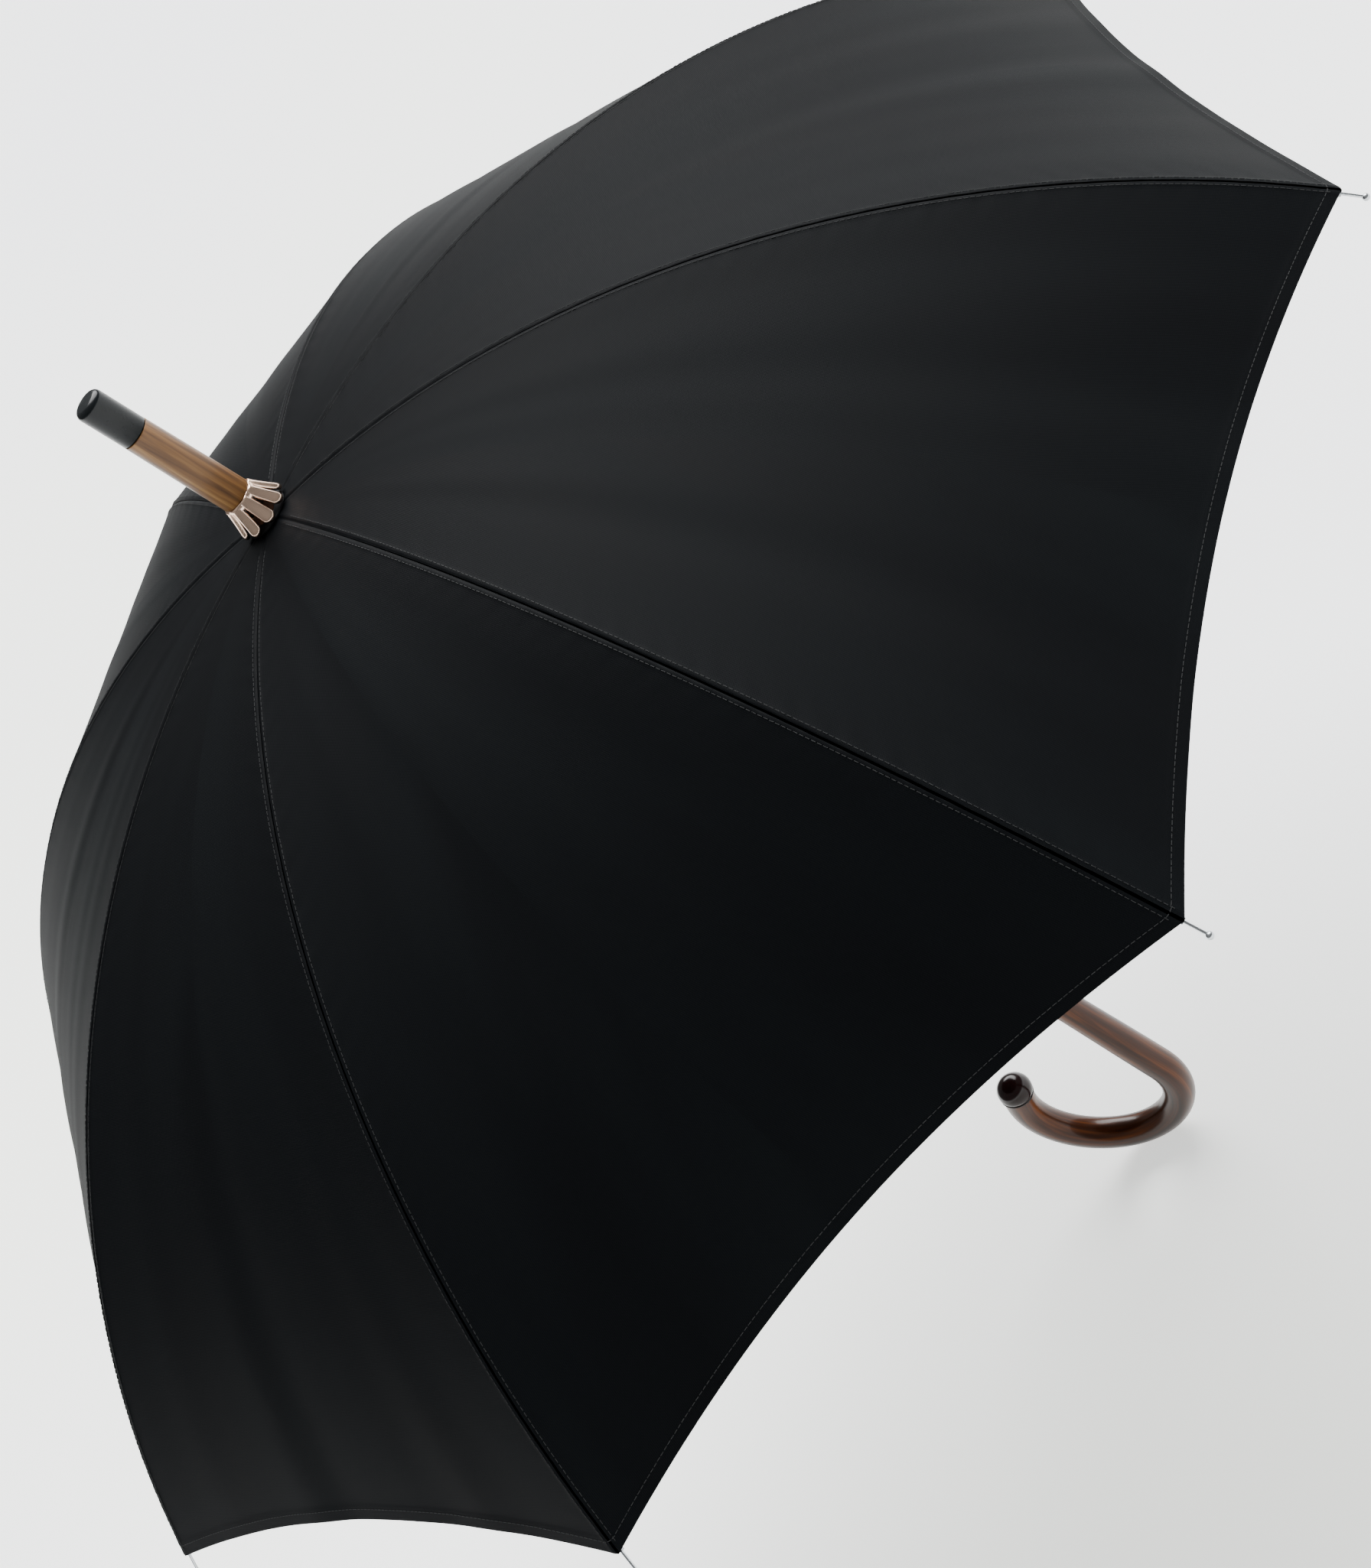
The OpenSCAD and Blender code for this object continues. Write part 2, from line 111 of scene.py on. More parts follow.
print(f"cloth arc radius {ARC_R / MM:.0f} mm, crown at {CROWN_Z / MM:.0f} mm")

# %% [markdown]
# ## Camera
# The umbrella is seen from outside and above its canopy, with its stick running from the
# upper left to the lower right. The camera looks down at the stick's axis and is rolled, so
# that the stick lies across the picture. A long lens keeps the far ribs from shrinking.

# %% Camera
AIM = Vector((-4.1 * MM, -4.3 * MM, CROWN_Z - 306.4 * MM))
DISTANCE = 1899 * MM
SIDE = math.radians(-43.43)
RISE = math.radians(29.67)
ROLL = math.radians(58.49)
SENSOR = 36
LENS = 74.8


def towards(side, rise):
    """The direction at an angle round the stick and an angle over the horizon."""
    return Vector((math.cos(side) * math.cos(rise), math.sin(side) * math.cos(rise), math.sin(rise)))


def make_camera():
    """Looks at AIM from one side and a little above, rolled round its own axis."""
    back = towards(SIDE, RISE)
    data = bpy.data.cameras.new("camera")
    data.sensor_width = SENSOR
    data.lens = LENS
    camera = bpy.data.objects.new("camera", data)
    turn = back.to_track_quat("Z", "Y").to_matrix().to_4x4()
    camera.matrix_world = Matrix.Translation(AIM + back * DISTANCE) @ turn @ Matrix.Rotation(-ROLL, 4, "Z")
    bpy.context.collection.objects.link(camera)
    bpy.context.scene.camera = camera
    return camera


camera = make_camera()
print("camera at", [round(c, 3) for c in camera.location])

# %% [markdown]
# ## Helpers for materials and meshes
# A material is a small tree of nodes. `add` makes one node, sets it up and joins its inputs,
# so that each recipe below reads from top to bottom. Colours are picked as sRGB, as a maker
# reads them off a sample, and `linear` turns them into what the renderer needs.

# %% Helpers for materials


def linear(code):
    """A colour such as "#7a4a26" as linear red, green, blue and alpha."""
    parts = [int(code[i:i + 2], 16) / 255 for i in (1, 3, 5)]
    return tuple(c / 12.92 if c <= 0.04045 else ((c + 0.055) / 1.055) ** 2.4 for c in parts) + (1.0,)


def add(tree, kind, inputs=None, **settings):
    """Adds one node. Inputs are values, or sockets of other nodes to link from."""
    made = tree.nodes.new(kind)
    for name, value in settings.items():
        setattr(made, name, value)
    for name, value in (inputs or {}).items():
        if isinstance(value, bpy.types.NodeSocket):
            tree.links.new(value, made.inputs[name])
        else:
            made.inputs[name].default_value = value
    return made


def new_material(name, **surface):
    """A material with one Principled shader, whose constant inputs are given."""
    made = bpy.data.materials.new(name)
    made.use_nodes = True
    shader = made.node_tree.nodes["Principled BSDF"]
    for socket, value in surface.items():
        shader.inputs[socket.replace("_", " ")].default_value = value
    return made, made.node_tree, shader


def colour_ramp(tree, fac, stops):
    """A ramp of colours over a 0 to 1 value."""
    ramp = add(tree, "ShaderNodeValToRGB", {"Fac": fac})
    elements = ramp.color_ramp.elements
    while len(elements) < len(stops):
        elements.new(0.5)
    for element, (place, code) in zip(elements, stops):
        element.position = place
        element.color = linear(code)
    return ramp.outputs["Color"]


def bump(tree, shader, height, strength, distance):
    """Joins a height to the shader's normal."""
    made = add(tree, "ShaderNodeBump", {"Height": height, "Strength": strength, "Distance": distance})
    tree.links.new(made.outputs["Normal"], shader.inputs["Normal"])
    return made


print("material helpers ready")

# %% Helpers for meshes


def new_mesh(name, points, faces, material, smooth=True, uv=None, grain=None):
    """A mesh object at the origin. uv and grain are one row for each point."""
    data = bpy.data.meshes.new(name)
    data.from_pydata([tuple(p) for p in points], [], faces)
    data.validate()
    if uv is not None:
        layer = data.uv_layers.new(name="cloth")
        corners = np.zeros(len(data.loops), int)
        data.loops.foreach_get("vertex_index", corners)
        layer.data.foreach_set("uv", np.asarray(uv, np.float32)[corners].ravel())
    if grain is not None:
        attribute = data.attributes.new("grain", "FLOAT_VECTOR", "POINT")
        attribute.data.foreach_set("vector", np.asarray(grain, np.float32).ravel())
    data.polygons.foreach_set("use_smooth", [smooth] * len(data.polygons))
    data.materials.append(material)
    made = bpy.data.objects.new(name, data)
    bpy.context.collection.objects.link(made)
    return made


def grid_faces(rows, columns, wrap=False, first=0):
    """Quads between neighbouring rows of points; wrap joins the last column to the first."""
    last = columns if wrap else columns - 1
    return [(first + r * columns + c, first + r * columns + (c + 1) % columns,
             first + (r + 1) * columns + (c + 1) % columns, first + (r + 1) * columns + c)
            for r in range(rows - 1) for c in range(last)]


def closing_faces(rows, columns, first):
    """Quads that join the last row of a wrapped grid to its first row."""
    last = first + (rows - 1) * columns
    return [(last + c, last + (c + 1) % columns, first + (c + 1) % columns, first + c)
            for c in range(columns)]


def border(rows, columns):
    """Pairs of neighbouring points round the edge of a grid."""
    last = (rows - 1) * columns
    edge = list(range(columns)) + [r * columns + columns - 1 for r in range(1, rows)]
    edge += list(range(last + columns - 2, last - 1, -1)) + [r * columns for r in range(rows - 2, 0, -1)]
    return list(zip(edge, edge[1:] + edge[:1]))


def turn_outwards(piece):
    """Makes a closed mesh's faces point outwards."""
    mesh = bmesh.new()
    mesh.from_mesh(piece.data)
    bmesh.ops.recalc_face_normals(mesh, faces=mesh.faces)
    mesh.to_mesh(piece.data)
    mesh.free()
    return piece


def lathe(name, profile, material, place=Matrix.Identity(4), segments=72):
    """A turned piece: profile is (radius, height) pairs from one end of its axis to the other."""
    points, grain = [], []
    for radius, height in profile:
        for k in range(segments):
            angle = 2 * math.pi * k / segments
            point = Vector((radius * math.cos(angle), radius * math.sin(angle), height))
            grain.append(tuple(point))
            points.append(tuple(place @ point))
    faces = grid_faces(len(profile), segments, wrap=True)
    faces.append(tuple(range(segments)))
    faces.append(tuple(reversed(range(len(points) - segments, len(points)))))
    return turn_outwards(new_mesh(name, points, faces, material, grain=grain))


def arc_profile(centre, radius, start, end, steps=8):
    """Points of a rounded edge in a profile, with angles in degrees from the level direction."""
    angles = [math.radians(start + (end - start) * k / steps) for k in range(steps + 1)]
    return [(centre[0] + radius * math.cos(a), centre[1] + radius * math.sin(a)) for a in angles]


print("mesh helpers ready")

# %% [markdown]
# ## Finishes
# The cloth is a plain-woven polyester taffeta with a water-repellent finish: nearly black
# with a cold cast, and almost no shine. Its threads are about 0.15 mm apart, too fine to
# show, so the weave is drawn at 0.9 mm. It reads the cloth's own map, laid out in metres, so
# that the threads run along each panel.

# %% Cloth
THREAD = 0.9 * MM


def make_cloth():
    """Black taffeta with a fine weave and long, soft tension streaks."""
    made, tree, shader = new_material("black_taffeta", Roughness=0.56)
    shader.inputs["Specular IOR Level"].default_value = 0.025
    place = add(tree, "ShaderNodeUVMap", uv_map="cloth").outputs["UV"]
    heights = []
    for direction in ("X", "Y"):
        wave = add(tree, "ShaderNodeTexWave", {"Vector": place, "Scale": math.pi / 10 / THREAD},
                   wave_type="BANDS", bands_direction=direction)
        heights.append(wave.outputs["Fac"])
    weave = add(tree, "ShaderNodeMath", {0: heights[0], 1: heights[1]}, operation="MAXIMUM").outputs[0]
    streak_place = add(tree, "ShaderNodeMapping", {"Vector": place, "Scale": (14, 2.6, 1)}).outputs["Vector"]
    noise = add(tree, "ShaderNodeTexNoise", {"Vector": streak_place, "Scale": 1.0, "Detail": 4.0})
    streak = noise.outputs["Fac"]
    colour = colour_ramp(tree, streak, [(0.3, "#0b0c0e"), (0.7, "#0e1012")])
    tree.links.new(colour, shader.inputs["Base Color"])
    rough = add(tree, "ShaderNodeMapRange", {"Value": streak, "To Min": 0.5, "To Max": 0.64})
    tree.links.new(rough.outputs["Result"], shader.inputs["Roughness"])
    height = add(tree, "ShaderNodeMath", {0: streak, 1: 1.2, 2: weave}, operation="MULTIPLY_ADD").outputs[0]
    bump(tree, shader, height, 0.35, 0.12 * MM)
    return made


cloth_finish = make_cloth()
print("cloth finish:", cloth_finish.name)

# %% [markdown]
# The crook is steam-bent chestnut-coloured wood under many coats of lacquer: the colour is
# deep brown, the grain runs along the bend, and the coat gives sharp highlights. The
# ferrule is the same idea in a paler, honey-coloured wood. The grain reads the piece's own
# straightened coordinates, which the mesh stores as an attribute, so it follows the bend.

# %% Lacquered wood


def make_wood(name, dark, mid, light, grain_width, roughness, coat):
    """Wood under gloss lacquer; grain_width is the usual distance between its streaks."""
    made, tree, shader = new_material(name, Roughness=roughness, Coat_Weight=coat, Coat_Roughness=0.08)
    shader.inputs["Specular IOR Level"].default_value = 0.25
    place = add(tree, "ShaderNodeAttribute", attribute_name="grain").outputs["Vector"]
    across = 1 / grain_width
    stretched = add(tree, "ShaderNodeMapping", {"Vector": place, "Scale": (across, across, across / 22)})
    grain = add(tree, "ShaderNodeTexNoise",
                {"Vector": stretched.outputs["Vector"], "Scale": 0.55, "Detail": 5.0, "Distortion": 0.6})
    broad = add(tree, "ShaderNodeMapping", {"Vector": place, "Scale": (60, 60, 14)})
    cloud = add(tree, "ShaderNodeTexNoise", {"Vector": broad.outputs["Vector"], "Scale": 0.6, "Detail": 2.0})
    mixed = add(tree, "ShaderNodeMath", {0: grain.outputs["Fac"], 1: 0.62}, operation="MULTIPLY").outputs[0]
    mixed = add(tree, "ShaderNodeMath", {0: cloud.outputs["Fac"], 1: 0.38, 2: mixed},
                operation="MULTIPLY_ADD").outputs[0]
    colour = colour_ramp(tree, mixed, [(0.34, dark), (0.5, mid), (0.66, light)])
    tree.links.new(colour, shader.inputs["Base Color"])
    bump(tree, shader, grain.outputs["Fac"], 0.12, 0.1 * MM)
    return made


handle_finish = make_wood("chestnut_lacquer", "#190801", "#3d1b05", "#68350a", 2.2 * MM, 0.3, 0.12)
ferrule_finish = make_wood("honey_wood_lacquer", "#4e3015", "#7e562c", "#ac824d", 1.8 * MM, 0.34, 0.15)
print("woods:", handle_finish.name, ferrule_finish.name)

# %% [markdown]
# Small parts have plainer finishes. The rosette is brass with a polished rose-gold plating.
# The tip cap and the nose are buffed horn-like plastic, black and dark maroon. The frame is
# zinc-plated spring steel, and the runner is enamelled black. Their tiny marks read the
# object's own coordinates.

# %% Metals and plastics


def make_plain(name, code, roughness, metallic=0.0, uneven=0.06, size=0.8 * MM, coat=0.0, depth=0.05 * MM,
               shine=0.5):
    """One colour with a finely uneven polish: size is the width of its marks, depth their height."""
    made, tree, shader = new_material(name, Metallic=metallic, Coat_Weight=coat, Coat_Roughness=0.05)
    shader.inputs["Base Color"].default_value = linear(code)
    shader.inputs["Specular IOR Level"].default_value = shine
    place = add(tree, "ShaderNodeTexCoord").outputs["Object"]
    noise = add(tree, "ShaderNodeTexNoise", {"Vector": place, "Scale": 1 / size / 2, "Detail": 3.0})
    marks = noise.outputs["Fac"]
    polish = add(tree, "ShaderNodeMapRange",
                 {"Value": marks, "To Min": roughness - uneven, "To Max": roughness + uneven})
    tree.links.new(polish.outputs["Result"], shader.inputs["Roughness"])
    bump(tree, shader, marks, 0.15, depth)
    return made


rose_gold = make_plain("rose_gold_plate", "#f0cfb9", 0.2, metallic=1.0, uneven=0.03, depth=0.008 * MM)
tip_black = make_plain("buffed_black_horn", "#0c1013", 0.26, size=2 * MM, shine=0.22)
nose_maroon = make_plain("buffed_maroon_horn", "#180606", 0.2, coat=0.05, size=2 * MM, shine=0.25)
zinc_steel = make_plain("zinc_plated_steel", "#8f9296", 0.34, metallic=1.0)
bright_wire = make_plain("bright_steel_wire", "#b9bcc0", 0.26, metallic=1.0)
black_enamel = make_plain("black_enamel", "#17181b", 0.3, coat=0.5, size=1.5 * MM)
black_felt = make_plain("black_felt", "#1c1d20", 0.95, size=0.5 * MM, depth=0.3 * MM)
black_thread = make_plain("black_thread", "#0e1012", 0.8, size=0.3 * MM)


def make_shaft_wood():
    """Stained wood for the straight shaft, with its grain along the stick."""
    made, tree, shader = new_material("stained_shaft_wood", Roughness=0.42, Coat_Weight=0.5,
                                      Coat_Roughness=0.12)
    place = add(tree, "ShaderNodeTexCoord").outputs["Object"]
    stretched = add(tree, "ShaderNodeMapping", {"Vector": place, "Scale": (480, 480, 20)})
    grain = add(tree, "ShaderNodeTexNoise",
                {"Vector": stretched.outputs["Vector"], "Scale": 0.6, "Detail": 4.0})
    colour = colour_ramp(tree, grain.outputs["Fac"], [(0.32, "#3d1f10"), (0.68, "#7c4a28")])
    tree.links.new(colour, shader.inputs["Base Color"])
    return made


shaft_finish = make_shaft_wood()
print("plain finishes ready")

# %% [markdown]
# ## The canopy
# A canopy is sewn from eight panels, and each rib pulls a seam taut. Between two ribs the
# cloth is straight, so a panel is a curved strip of flat ruling, and its hem curves in
# because the cut is hollow there. The folding frame decides how to divide the model: the
# cloth folds in the middle of a panel and stays put at a rib. So a piece is one seam with
# half a panel at each side, and it rides on its rib. Neighbours meet edge to edge, with the
# same relief at the fold, so that the sheet looks whole. The relief is in the mesh: the
# sewn groove with its puckers, the turned hem, and long soft folds that tension leaves.

# %% Shape of the cloth
CLOTH_T = 0.45 * MM
HOLE_R = 9.0 * MM
HEM_W = 9 * MM
HEM_FOLD = 0.25 * MM
HEM_EDGE = 0.6 * MM
GROOVE_W = 1.1 * MM
GROOVE_DIP = 0.6 * MM
WELT_AT = 2.6 * MM
WELT_W = 1.3 * MM
WELT_RISE = 0.16 * MM
PUCKER_STEP = 11 * MM
PUCKER_REACH = 9 * MM
PUCKER_RISE = 0.12 * MM
FOLD_WAVES = (3.0, 5.0, 8.0)
FOLD_RISE = (0.4 * MM, 0.25 * MM, 0.1 * MM)
FOLDS_FROM = 160 * MM
rng = np.random.default_rng(8)
fold_phase = rng.uniform(0, 2 * math.pi, (RIBS, len(FOLD_WAVES)))
fold_height = rng.uniform(0.6, 1.3, (RIBS, len(FOLD_WAVES)))


def relief(panel, share, along, across):
    """Height of the cloth over its ruled surface, in metres.
    share runs 0 to 1 across the panel, along is the distance from the crown,
    across the distance from the nearer seam."""
    groove = np.exp(-(across / GROOVE_W) ** 2)
    welt = np.exp(-((across - WELT_AT) / WELT_W) ** 2)
    pucker = np.sin(2 * math.pi * along / PUCKER_STEP + panel) * np.exp(-across / PUCKER_REACH)
    height = -GROOVE_DIP * groove + WELT_RISE * welt + PUCKER_RISE * pucker * (1 - groove)
    pull = np.clip(along / RIB_LENGTH, 0, 1)
    swell = 1.2 * pull * np.clip(along / FOLDS_FROM, 0, 1) * np.sin(math.pi * np.clip(share, 0, 1))
    for k, waves in enumerate(FOLD_WAVES):
        ripple = np.sin(2 * math.pi * waves * share + fold_phase[panel, k] + 2.2 * pull * (k - 1))
        height = height + fold_height[panel, k] * FOLD_RISE[k] * ripple * swell
    return height


def cloth_points(rib, rows, across_shares, side_up=1):
    """Points of one piece's outer or inner skin, and its map, from the fold at one side
    to the other. side_up is 1 for the outer skin and -1 for the inner one."""
    out, side = rib_direction(rib)
    hole_slope = math.asin((HOLE_R - ARC_X) / ARC_R)
    signed = np.asarray(across_shares)[None, :]
    share = np.abs(signed)
    run = np.asarray(rows)[:, None]
    hem_slope = SLOPE_IN + (RIB_LENGTH - HEM_SETBACK * 4 * share * (1 - share)) / ARC_R
    slope = hole_slope + (hem_slope - hole_slope) * run
    radius = ARC_X + ARC_R * np.sin(slope)
    level = radius * (1 - share * (1 - math.cos(STEP)))
    cross = np.sign(signed) * share * radius * math.sin(STEP)
    height = ARC_Z + ARC_R * np.cos(slope)
    along = (slope - SLOPE_IN) * ARC_R
    hem_gap = (hem_slope - slope) * ARC_R
    left = (rib - 2) % RIBS
    right = (rib - 1) % RIBS
    seam_gap = share * radius * 2 * math.sin(STEP / 2)
    rise = np.where(signed >= 0, relief(right, share, along, seam_gap),
                    relief(left, 1 - share, along, seam_gap))
    turned = 1 / (1 + np.exp((hem_gap - HEM_W) / HEM_EDGE))
    rise = rise + (side_up - 1) * CLOTH_T / 2 + side_up * HEM_FOLD * turned
    middle = np.where(signed >= 0, STEP / 2, -STEP / 2)
    tilt = np.sin(slope)
    normal_out, normal_side, normal_up = tilt * np.cos(middle), tilt * np.sin(middle), np.cos(slope)
    points = ((level + rise * normal_out)[..., None] * out + (cross + rise * normal_side)[..., None] * side
              + (height + rise * normal_up)[..., None] * np.array([0, 0, 1.0]))
    uv = np.stack([cross + 0 * run, along + 0 * share], -1)
    return points, uv


def spread(count, tight, reach):
    """Shares from 0 to reach, closer together near 0."""
    steps = np.linspace(0, 1, count)
    return reach * (steps + tight * (steps ** 2 - steps))


half_columns = spread(34, 0.72, 0.5)
COLUMNS = np.concatenate([-half_columns[:0:-1], half_columns])
ROWS = np.concatenate([np.linspace(0, 0.972, 84, endpoint=False), np.linspace(0.972, 1, 10)])
print("cloth grid:", len(ROWS), "by", len(COLUMNS))


def flatten_with_rib(piece, rib):
    """Hangs a piece on its rib's body, with a mesh of its own."""
    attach(piece, f"rib_{rib}")
    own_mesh(piece)
    return piece


def skin(rib, side_up):
    """Points of a skin and its exact normals, which neighbours share along a fold."""
    tiny = 1e-4
    points, uv = cloth_points(rib, ROWS, COLUMNS, side_up)
    around = [cloth_points(rib, ROWS + down, COLUMNS + over, side_up)[0]
              for down, over in ((tiny, 0), (-tiny, 0), (0, tiny), (0, -tiny))]
    normal = np.cross(around[0] - around[1], around[2] - around[3])
    normal *= side_up / np.linalg.norm(normal, axis=-1, keepdims=True)
    return points.reshape(-1, 3), normal.reshape(-1, 3), uv.reshape(-1, 2)


def make_cloth_piece(rib):
    """One seam with half a panel at each side, as a thin closed shell."""
    rows, columns = len(ROWS), len(COLUMNS)
    count = rows * columns
    outer, outer_normal, uv = skin(rib, 1)
    inner, inner_normal, _ = skin(rib, -1)
    quads = grid_faces(rows, columns)
    faces = [q[::-1] for q in quads] + [tuple(v + count for v in q) for q in quads]
    skins = len(faces)
    faces += [(a, b, b + count, a + count) for a, b in border(rows, columns)]
    piece = new_mesh(f"canopy_cloth_{rib}", np.concatenate([outer, inner]), faces, cloth_finish,
                     uv=np.concatenate([uv, uv]))
    normals = np.concatenate([outer_normal, inner_normal])
    own = []
    for face in piece.data.polygons:
        own += [tuple(face.normal) if face.index >= skins else tuple(normals[v]) for v in face.vertices]
    piece.data.normals_split_custom_set(own)
    return piece


cloths = []
for rib in range(1, RIBS + 1):
    piece = make_cloth_piece(rib)
    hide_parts(f"canopy_{rib}")
    cloths.append(piece)

# %% [markdown]
# ## Stitches
# A row of stitches holds the turned hem, and a row runs down each side of every seam. There
# are thousands, all alike, so Geometry Nodes lay them: a curve is cut into equal steps and a
# tiny rounded bar is set on each one, turned along the curve. The tree has named inputs for
# the stitch's size, and its result is baked to a plain mesh, which rides on its rib with the
# cloth.

# %% Stitch tree


def make_stitch_tree():
    """Geometry Nodes: curve in, a row of stitches out."""
    tree = bpy.data.node_groups.new("stitch_row", "GeometryNodeTree")
    face = tree.interface
    face.new_socket("Geometry", in_out="INPUT", socket_type="NodeSocketGeometry")
    sizes = (("Spacing", 3.2 * MM), ("Length", 2.3 * MM), ("Thickness", 0.2 * MM))
    for name, size in sizes:
        face.new_socket(name, in_out="INPUT", socket_type="NodeSocketFloat").default_value = size
    face.new_socket("Material", in_out="INPUT", socket_type="NodeSocketMaterial")
    face.new_socket("Geometry", in_out="OUTPUT", socket_type="NodeSocketGeometry")
    given = add(tree, "NodeGroupInput").outputs
    curve = add(tree, "GeometryNodeMeshToCurve", {"Mesh": given["Geometry"]}).outputs["Curve"]
    steps = add(tree, "GeometryNodeCurveToPoints", {"Curve": curve, "Length": given["Spacing"]},
                mode="LENGTH")
    bar = add(tree, "GeometryNodeMeshCylinder",
              {"Vertices": 6, "Radius": given["Thickness"], "Depth": given["Length"]})
    placed = add(tree, "GeometryNodeInstanceOnPoints",
                 {"Points": steps.outputs["Points"], "Instance": bar.outputs["Mesh"],
                  "Rotation": steps.outputs["Rotation"]})
    real = add(tree, "GeometryNodeRealizeInstances", {"Geometry": placed.outputs["Instances"]})
    dressed = add(tree, "GeometryNodeSetMaterial",
                  {"Geometry": real.outputs["Geometry"], "Material": given["Material"]})
    add(tree, "NodeGroupOutput", {"Geometry": dressed.outputs["Geometry"]})
    return tree


stitch_tree = make_stitch_tree()
print("stitch tree:", len(stitch_tree.nodes), "nodes")

# %% Lay the stitches


def bake(holder, name):
    """Turns a modifier's result into a plain mesh object of that name."""
    depsgraph = bpy.context.evaluated_depsgraph_get()
    data = bpy.data.meshes.new_from_object(holder.evaluated_get(depsgraph))
    made = bpy.data.objects.new(name, data)
    bpy.context.collection.objects.link(made)
    bpy.data.objects.remove(holder)
    return made


def row_of_stitches(name, lines, tree, **sizes):
    """Stitches along each line, a list of points on the cloth."""
    points = [tuple(p) for line in lines for p in line]
    edges, first = [], 0
    for line in lines:
        edges += [(first + k, first + k + 1) for k in range(len(line) - 1)]
        first += len(line)
    data = bpy.data.meshes.new(name + "_path")
    data.from_pydata(points, edges, [])
    holder = bpy.data.objects.new(name + "_path", data)
    bpy.context.collection.objects.link(holder)
    modifier = holder.modifiers.new("stitches", "NODES")
    modifier.node_group = tree
    keys = {item.name: item.identifier for item in tree.interface.items_tree if item.in_out == "INPUT"}
    modifier[keys["Material"]] = black_thread
    for size, value in sizes.items():
        modifier[keys[size]] = value
    return bake(holder, name)


STITCH_LIFT = 0.04 * MM
HEM_STITCH_AT = 6.5 * MM
SEAM_STITCH_AT = 3.0 * MM


def cloth_line(rib, rows, shares):
    """Points just over the cloth, one for each row and share."""
    line = []
    for row, share in zip(rows, shares):
        point, _ = cloth_points(rib, [row], [share])
        line.append(point[0, 0] + np.array([0, 0, STITCH_LIFT]))
    return line


def hem_stitch_line(rib):
    """A line along the hem, inside its turned edge."""
    shares = np.linspace(-0.498, 0.498, 90)
    return cloth_line(rib, [1 - HEM_STITCH_AT / RIB_LENGTH] * len(shares), shares)


def seam_stitch_line(rib, side):
    """A line down one side of the seam, from the rosette to the corner."""
    rows = np.linspace(0.04, 0.99, 110)
    radii = ARC_X + ARC_R * np.sin(SLOPE_IN + rows * RIB_LENGTH / ARC_R)
    shares = side * SEAM_STITCH_AT / (2 * radii * math.sin(STEP / 2))
    return cloth_line(rib, rows, shares)


for rib in range(1, RIBS + 1):
    lines = [hem_stitch_line(rib), seam_stitch_line(rib, 1), seam_stitch_line(rib, -1)]
    stitches = row_of_stitches(f"canopy_stitches_{rib}", lines, stitch_tree)
    flatten_with_rib(stitches, rib)
for rib, piece in enumerate(cloths, 1):
    flatten_with_rib(piece, rib)

# %% [markdown]
# ## The crook
# The handle is one rod of wood, bent by steam. It is made as a sweep: rings of points along
# a line that runs straight down the grip, round the bend and a little on. The rod swells
# gently towards the bend, as the frame's solid does.

# %% Crook handle
GRIP_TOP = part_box("handle_collar")[0][2]
BEND_Z = -GRIP_TOP
BEND_R = 52.5 * MM
BEND_TURN = math.radians(206)
LEAD = 9 * MM
TOP_R = 9.8 * MM
handle_low, handle_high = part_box("crook_handle")
BEND_ROD_R = (handle_high[1] - handle_low[1]) / 2


def handle_frame(distance):
    """Centre of the rod, and its direction, at a distance from the handle's top."""
    grip = GRIP_TOP - BEND_Z
    bend = BEND_R * BEND_TURN
    if distance <= grip:
        return Vector((0, 0, GRIP_TOP - distance)), Vector((0, 0, -1))
    angle = min((distance - grip) / BEND_R, BEND_TURN)
    centre = Vector((-BEND_R + BEND_R * math.cos(angle), 0, BEND_Z - BEND_R * math.sin(angle)))
    direction = Vector((-math.sin(angle), 0, -math.cos(angle)))
    return centre + direction * max(0.0, distance - grip - bend), direction


def rod_radius(distance):
    """The rod swells from its top to the bend and keeps its size from there."""
    part = min(1.0, distance / (GRIP_TOP - BEND_Z))
    return TOP_R + (BEND_ROD_R - TOP_R) * part * part * (3 - 2 * part)


def make_handle():
    """Sweeps the rod, and stores its straightened coordinates for the grain."""
    total = GRIP_TOP - BEND_Z + BEND_R * BEND_TURN + LEAD
    rings, around = 190, 56
    points, grain = [], []
    for k in range(rings):
        distance = total * k / (rings - 1)
        centre, direction = handle_frame(distance)
        side = Vector((0, 1, 0))
        up = side.cross(direction)
        radius = rod_radius(distance)
        for a in range(around):
            angle = 2 * math.pi * a / around
            points.append(centre + (up * math.cos(angle) + side * math.sin(angle)) * radius)
            grain.append((radius * math.cos(angle), radius * math.sin(angle), distance))
    faces = grid_faces(rings, around, wrap=True)
    faces.append(tuple(range(around)))
    faces.append(tuple(reversed(range(len(points) - around, len(points)))))
    return turn_outwards(new_mesh("crook_wood", points, faces, handle_finish, grain=grain)), total


handle, handle_length = make_handle()
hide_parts("crook_handle")
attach(handle, "root")
print(f"crook: {handle_length / MM:.0f} mm of rod")

# %% [markdown]
# The nose is a separate knob of dark horn, glued over the rod's end. A lathe gives its
# profile: a thin lip against the wood, a slight waist and a round, full end.

# %% Nose knob
NOSE_R = 12 * MM
NOSE_LENGTH = 17 * MM
LIP_R = 0.85 * MM
LIP_OUT = 0.2 * MM


def end_of_handle():
    """The matrix that puts +Z along the rod at its end."""
    centre, direction = handle_frame(handle_length)
    turn = direction.to_track_quat("Z", "Y").to_matrix().to_4x4()
    return Matrix.Translation(centre) @ turn


